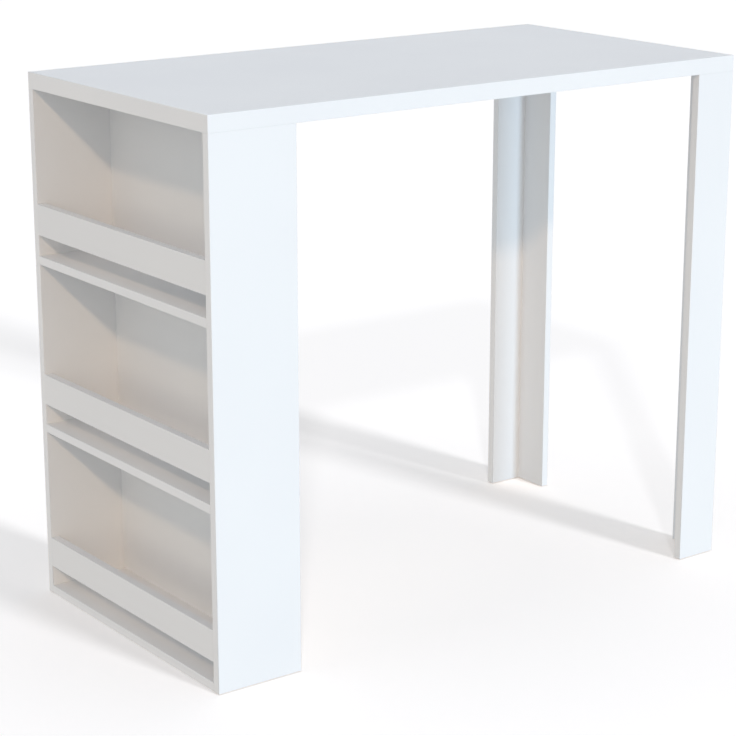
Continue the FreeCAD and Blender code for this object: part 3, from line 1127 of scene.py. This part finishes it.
@dataclass
class CamJoints:
    """Cams, bolts and caps that draw the boards of one sub-assembly together.

    Attributes:
        place: Sub-assembly that the joints are in.
        capped: Whether caps hide the cams.
    """

    place: str
    capped: bool

    def build(self) -> None:
        """Dress the cams and set in their bolts and caps."""
        cams = f"{self.place}_cams"
        dress(cams, ZINC)
        CamBolt().set_in(f"{self.place}_cam_bolts", cams)
        if self.capped:
            CamCap().set_in(f"{self.place}_cam_caps", cams)


@dataclass
class TableTop:
    """The thick top, edged on its four sides.

    Attributes:
        edging: Thickness of its edging.
        radius: Radius of the edging's arrises.
    """

    edging: float = 2.0 * MM
    radius: float = 0.5 * MM

    def build(self) -> None:
        """Dress the board, model its edging and set in the dowels below it."""
        dress("table_top", MELAMINE)
        low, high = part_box("table_top_edging")
        inset = Vector((0.0, self.edging, 0.0))
        long_strips = bmesh.new()
        short_strips = bmesh.new()
        for upper in (False, True):
            first, last = slab(low, high, Axis.Y, upper, self.edging)
            EdgeStrip(first, last, Axis.Y, upper, self.radius, wrapped=True).add_to(long_strips)
            first, last = slab(low + inset, high - inset, Axis.X, upper, self.edging)
            EdgeStrip(first, last, Axis.X, upper, self.radius).add_to(short_strips)
        add_piece("table_top_long_edging", long_strips, Edging(Axis.X), Slot.EDGING, "table_top_edging")
        add_piece("table_top_short_edging", short_strips, Edging(Axis.Y), Slot.EDGING, "table_top_edging")
        Dowel().set_in("table_top_dowels")


@dataclass
class BottleCabinet:
    """Open cabinet with three shelves, each with a rail that keeps bottles in.

    Attributes:
        edging: Thickness of its edging.
        radius: Radius of the edging's arrises.
    """

    edging: float = 1.0 * MM
    radius: float = 0.6 * MM

    def build(self) -> None:
        """Dress the boards, model their edging and set in their dowels and cam joints."""
        dress("cabinet_back_panel", STANDING_MELAMINE)
        for side in Side:
            panel = f"cabinet_{side.value}_panel"
            dress(panel, STANDING_MELAMINE)
            EdgeBand(f"{panel}_edging", Axis.X, self.edging, self.radius, Axis.Z).build()
        for level in Level:
            shelf, rail = f"{level.value}_shelf", f"{level.value}_rail"
            dress(shelf, MELAMINE)
            dress(rail, MELAMINE)
            EdgeBand(f"{shelf}_edging", Axis.X, self.edging, self.radius, Axis.Y, (False,)).build()
            EdgeBand(f"{rail}_edging", Axis.Z, self.edging, self.radius, Axis.Y).build()
        for joint in ("shelf", "rail", "back_panel"):
            Dowel().set_in(f"{joint}_dowels")
        CamJoints("shelf", capped=False).build()
        CamJoints("back_panel", capped=True).build()


@dataclass
class CornerLeg:
    """Leg of two boards that meet in an angle.

    Attributes:
        side: Long side that the leg stands on.
        edging: Thickness of its edging.
        radius: Radius of the edging's arrises.
    """

    side: Side
    edging: float = 1.0 * MM
    radius: float = 0.6 * MM

    def build(self) -> None:
        """Dress the boards and model their edging."""
        face_board = f"{self.side.value}_leg_face_board"
        end_board = f"{self.side.value}_leg_end_board"
        dress(face_board, STANDING_MELAMINE)
        dress(end_board, STANDING_MELAMINE)
        EdgeBand(f"{face_board}_edging", Axis.X, self.edging, self.radius, Axis.Z).build()
        inner = (self.side is Side.FRONT,)
        EdgeBand(f"{end_board}_edging", Axis.Y, self.edging, self.radius, Axis.Z, inner).build()


@dataclass(frozen=True)
class StudioFloor(Finish):
    """Matt pale floor that shows white where it is lit, keeps the table's shadow and has a painted shade
    around the table.

    Attributes:
        matt: Colour of the matt floor.
        far_glow: Glow away from the table.
        painted_shade_glow: Lower glow at the table, which paints a soft shade on the floor around it.
        painted_shade_pool: Half length and half depth, in metres, of the patch of painted shade in which
            the glow changes.
        painted_shade_reach: Shares of the way from that patch's rim to its middle between which the glow
            changes.
    """

    name: str = "studio_floor"
    matt: Colour = (1.0, 0.9, 0.82, 1.0)
    far_glow: Colour = (0.25, 0.25, 0.252, 1.0)
    # lower glow near the table, a painted shade on the floor around it
    painted_shade_glow: Colour = (0.11, 0.124, 0.14, 1.0)
    painted_shade_pool: tuple[float, float] = (1.25, 1.1)
    painted_shade_reach: tuple[float, float] = (0.12, 0.75)

    def shade(self, sheet: NodeSheet) -> None:
        """Lay out a matt floor that glows a little, less so near the table as a painted shade, and is
        clear from below.

        Args:
            sheet: Empty node tree of the material.
        """
        matt = sheet.add("ShaderNodeBsdfDiffuse", {"Color": self.matt}).outputs["BSDF"]
        spot = sheet.scaled([1.0 / half for half in self.painted_shade_pool] + [1.0])
        # painted shade: the floor glows less towards the table, as a soft wash of shade around it
        painted_shade_pool = sheet.add("ShaderNodeTexGradient", {"Vector": spot}, gradient_type="SPHERICAL")
        glow = sheet.tones(painted_shade_pool.outputs["Fac"], self.far_glow, self.painted_shade_glow, self.painted_shade_reach)
        white = sheet.add("ShaderNodeEmission", {"Color": glow}).outputs["Emission"]
        floor = sheet.add("ShaderNodeAddShader", {0: matt, 1: white}).outputs["Shader"]
        below = sheet.add("ShaderNodeNewGeometry").outputs["Backfacing"]
        clear = sheet.add("ShaderNodeBsdfTransparent").outputs["BSDF"]
        sheet.surface(sheet.add("ShaderNodeMixShader", {0: below, 1: floor, 2: clear}).outputs["Shader"])


@dataclass(frozen=True)
class Lamp:
    """A far soft lamp that no face mirrors, given by where its light comes from.

    Attributes:
        name: Name of the lamp.
        azimuth: Degrees from the front, with the right-hand side positive.
        elevation: Degrees above the floor.
        softness: Degrees that the lamp spans as seen from the table.
        level: Light on a face that looks straight at the lamp, where one is full white.
        tint: Colour of the light.
        reach: What the lamp lights.
    """

    name: str
    azimuth: float
    elevation: float
    softness: float
    level: float
    tint: tuple[float, float, float]
    reach: Reach

    def build(self, floor: bpy.types.Object) -> None:
        """Hang the lamp.

        Args:
            floor: Floor of the studio.
        """
        data = bpy.data.lights.new(self.name, "SUN")
        data.angle = math.radians(self.softness)
        data.energy = math.pi * self.level
        data.color = self.tint
        lamp = bpy.data.objects.new(self.name, data)
        turn, rise = math.radians(self.azimuth), math.radians(self.elevation)
        back = Vector((math.sin(turn) * math.cos(rise), -math.cos(turn) * math.cos(rise), math.sin(rise)))
        lamp.location = back * LAMP_DISTANCE
        lamp.rotation_mode = "QUATERNION"
        lamp.rotation_quaternion = (-back).to_track_quat("-Z", "Y")
        lamp.visible_glossy = False
        group = bpy.data.collections.new(f"{self.name}_reach")
        group.objects.link(floor)
        group.collection_objects[0].light_linking.link_state = self.reach.value
        lamp.light_linking.receiver_collection = group
        bpy.context.scene.collection.objects.link(lamp)
        log.info("hung %s", self.name)


LAMPS = (
    Lamp(
        "front_key", azimuth=9.0, elevation=12.0, softness=13.0,
        level=0.46, tint=(0.61, 0.81, 1.0), reach=Reach.TABLE,
    ),
    Lamp(
        "front_shadow", azimuth=10.0, elevation=12.0, softness=9.0,
        level=1.2, tint=(0.82, 0.9, 1.0), reach=Reach.FLOOR,
    ),
    Lamp(
        "camera_key", azimuth=-36.0, elevation=31.7, softness=3.0,
        level=0.222, tint=(1.0, 0.71, 0.465), reach=Reach.TABLE,
    ),
    Lamp(
        "camera_shadow", azimuth=-36.0, elevation=31.7, softness=3.0,
        level=0.17, tint=(0.82, 0.9, 1.0), reach=Reach.FLOOR,
    ),
    Lamp(
        "back_fill", azimuth=143.0, elevation=8.0, softness=40.0,
        level=0.3, tint=(1.0, 0.98, 0.96), reach=Reach.TABLE,
    ),
)


@dataclass
class Studio:
    """Floor, lamps, surrounding light and camera.

    Attributes:
        floor_half: Half the width of the floor.
        ground: Light that comes up off the ground.
        horizon: Light from the level of the horizon.
        zenith: Light from straight above.
        eye: Place of the camera.
        azimuth: Degrees from the front at which the camera stands, with the right-hand side positive.
        elevation: Degrees that the camera looks down.
        focal_pixels: Focal length in pixels of the frame.
        frame_pixels: Width of the frame in pixels.
        sensor: Width of the camera's sensor in millimetres.
    """

    floor_half: float = 12.0
    ground: Colour = (0.456, 0.471, 0.485, 1.0)
    horizon: Colour = (1.19, 1.16, 1.065, 1.0)
    zenith: Colour = (0.15, 0.25, 0.395, 1.0)
    eye: tuple[float, float, float] = (-2.441, -3.2302, 1.5649)
    azimuth: float = -36.5
    elevation: float = 15.86
    focal_pixels: float = 2193.0
    frame_pixels: float = 736.0
    sensor: float = 36.0

    def build(self) -> None:
        """Set up the whole studio."""
        floor = self.build_floor()
        self.build_surround()
        for lamp in LAMPS:
            lamp.build(floor)
        self.build_camera()
        bpy.context.scene.view_settings.view_transform = "Standard"

    def build_floor(self) -> bpy.types.Object:
        """Lay the floor.

        Returns:
            The floor.
        """
        mesh = bmesh.new()
        bmesh.ops.create_grid(mesh, x_segments=1, y_segments=1, size=self.floor_half)
        data = bpy.data.meshes.new("studio_floor")
        mesh.to_mesh(data)
        mesh.free()
        finish = StudioFloor().material()
        finish.cycles.emission_sampling = "NONE"
        data.materials.append(finish)
        floor = bpy.data.objects.new("studio_floor", data)
        floor.visible_diffuse = False
        floor.visible_shadow = False
        bpy.context.scene.collection.objects.link(floor)
        return floor

    def build_surround(self) -> None:
        """Surround the table with soft light from sky and ground, which is seen as white."""
        world = bpy.data.worlds.new("studio_surround")
        world.use_nodes = True
        bpy.context.scene.world = world
        sheet = NodeSheet(world.node_tree)
        height = sheet.height(sheet.add("ShaderNodeTexCoord").outputs["Generated"])
        sky = sheet.tones(height, self.horizon, self.zenith, FULL_REACH)
        tone = sheet.mixed(sheet.calculate("GREATER_THAN", height, 0.0), self.ground, sky)
        light = sheet.add("ShaderNodeBackground", {"Color": tone}).outputs["Background"]
        white = sheet.add("ShaderNodeBackground", {"Color": WHITE}).outputs["Background"]
        path = sheet.add("ShaderNodeLightPath").outputs
        seen = sheet.calculate("MAXIMUM", path["Is Camera Ray"], path["Is Glossy Ray"])
        seen = sheet.calculate("MAXIMUM", seen, path["Is Transmission Ray"])
        mixed = sheet.add("ShaderNodeMixShader", {0: seen, 1: light, 2: white})
        sheet.surface(mixed.outputs["Shader"], "ShaderNodeOutputWorld")

    def build_camera(self) -> None:
        """Set the camera at the viewing angle."""
        data = bpy.data.cameras.new("camera")
        data.sensor_width = self.sensor
        data.lens = self.focal_pixels / self.frame_pixels * self.sensor
        camera = bpy.data.objects.new("camera", data)
        camera.location = self.eye
        tilt = math.pi / 2 - math.radians(self.elevation)
        camera.rotation_euler = (tilt, 0.0, math.radians(self.azimuth))
        bpy.context.scene.collection.objects.link(camera)
        bpy.context.scene.camera = camera


def main() -> None:
    """Build the table and the studio."""
    logging.basicConfig(level=logging.INFO, format="%(name)s: %(message)s")
    TableTop().build()
    BottleCabinet().build()
    for side in Side:
        CornerLeg(side).build()
    Dowel().set_in("leg_corner_dowels")
    CamJoints("leg", capped=True).build()
    FloorGlide().set_in("floor_glides")
    Studio().build()


if __name__ == "__main__":
    main()
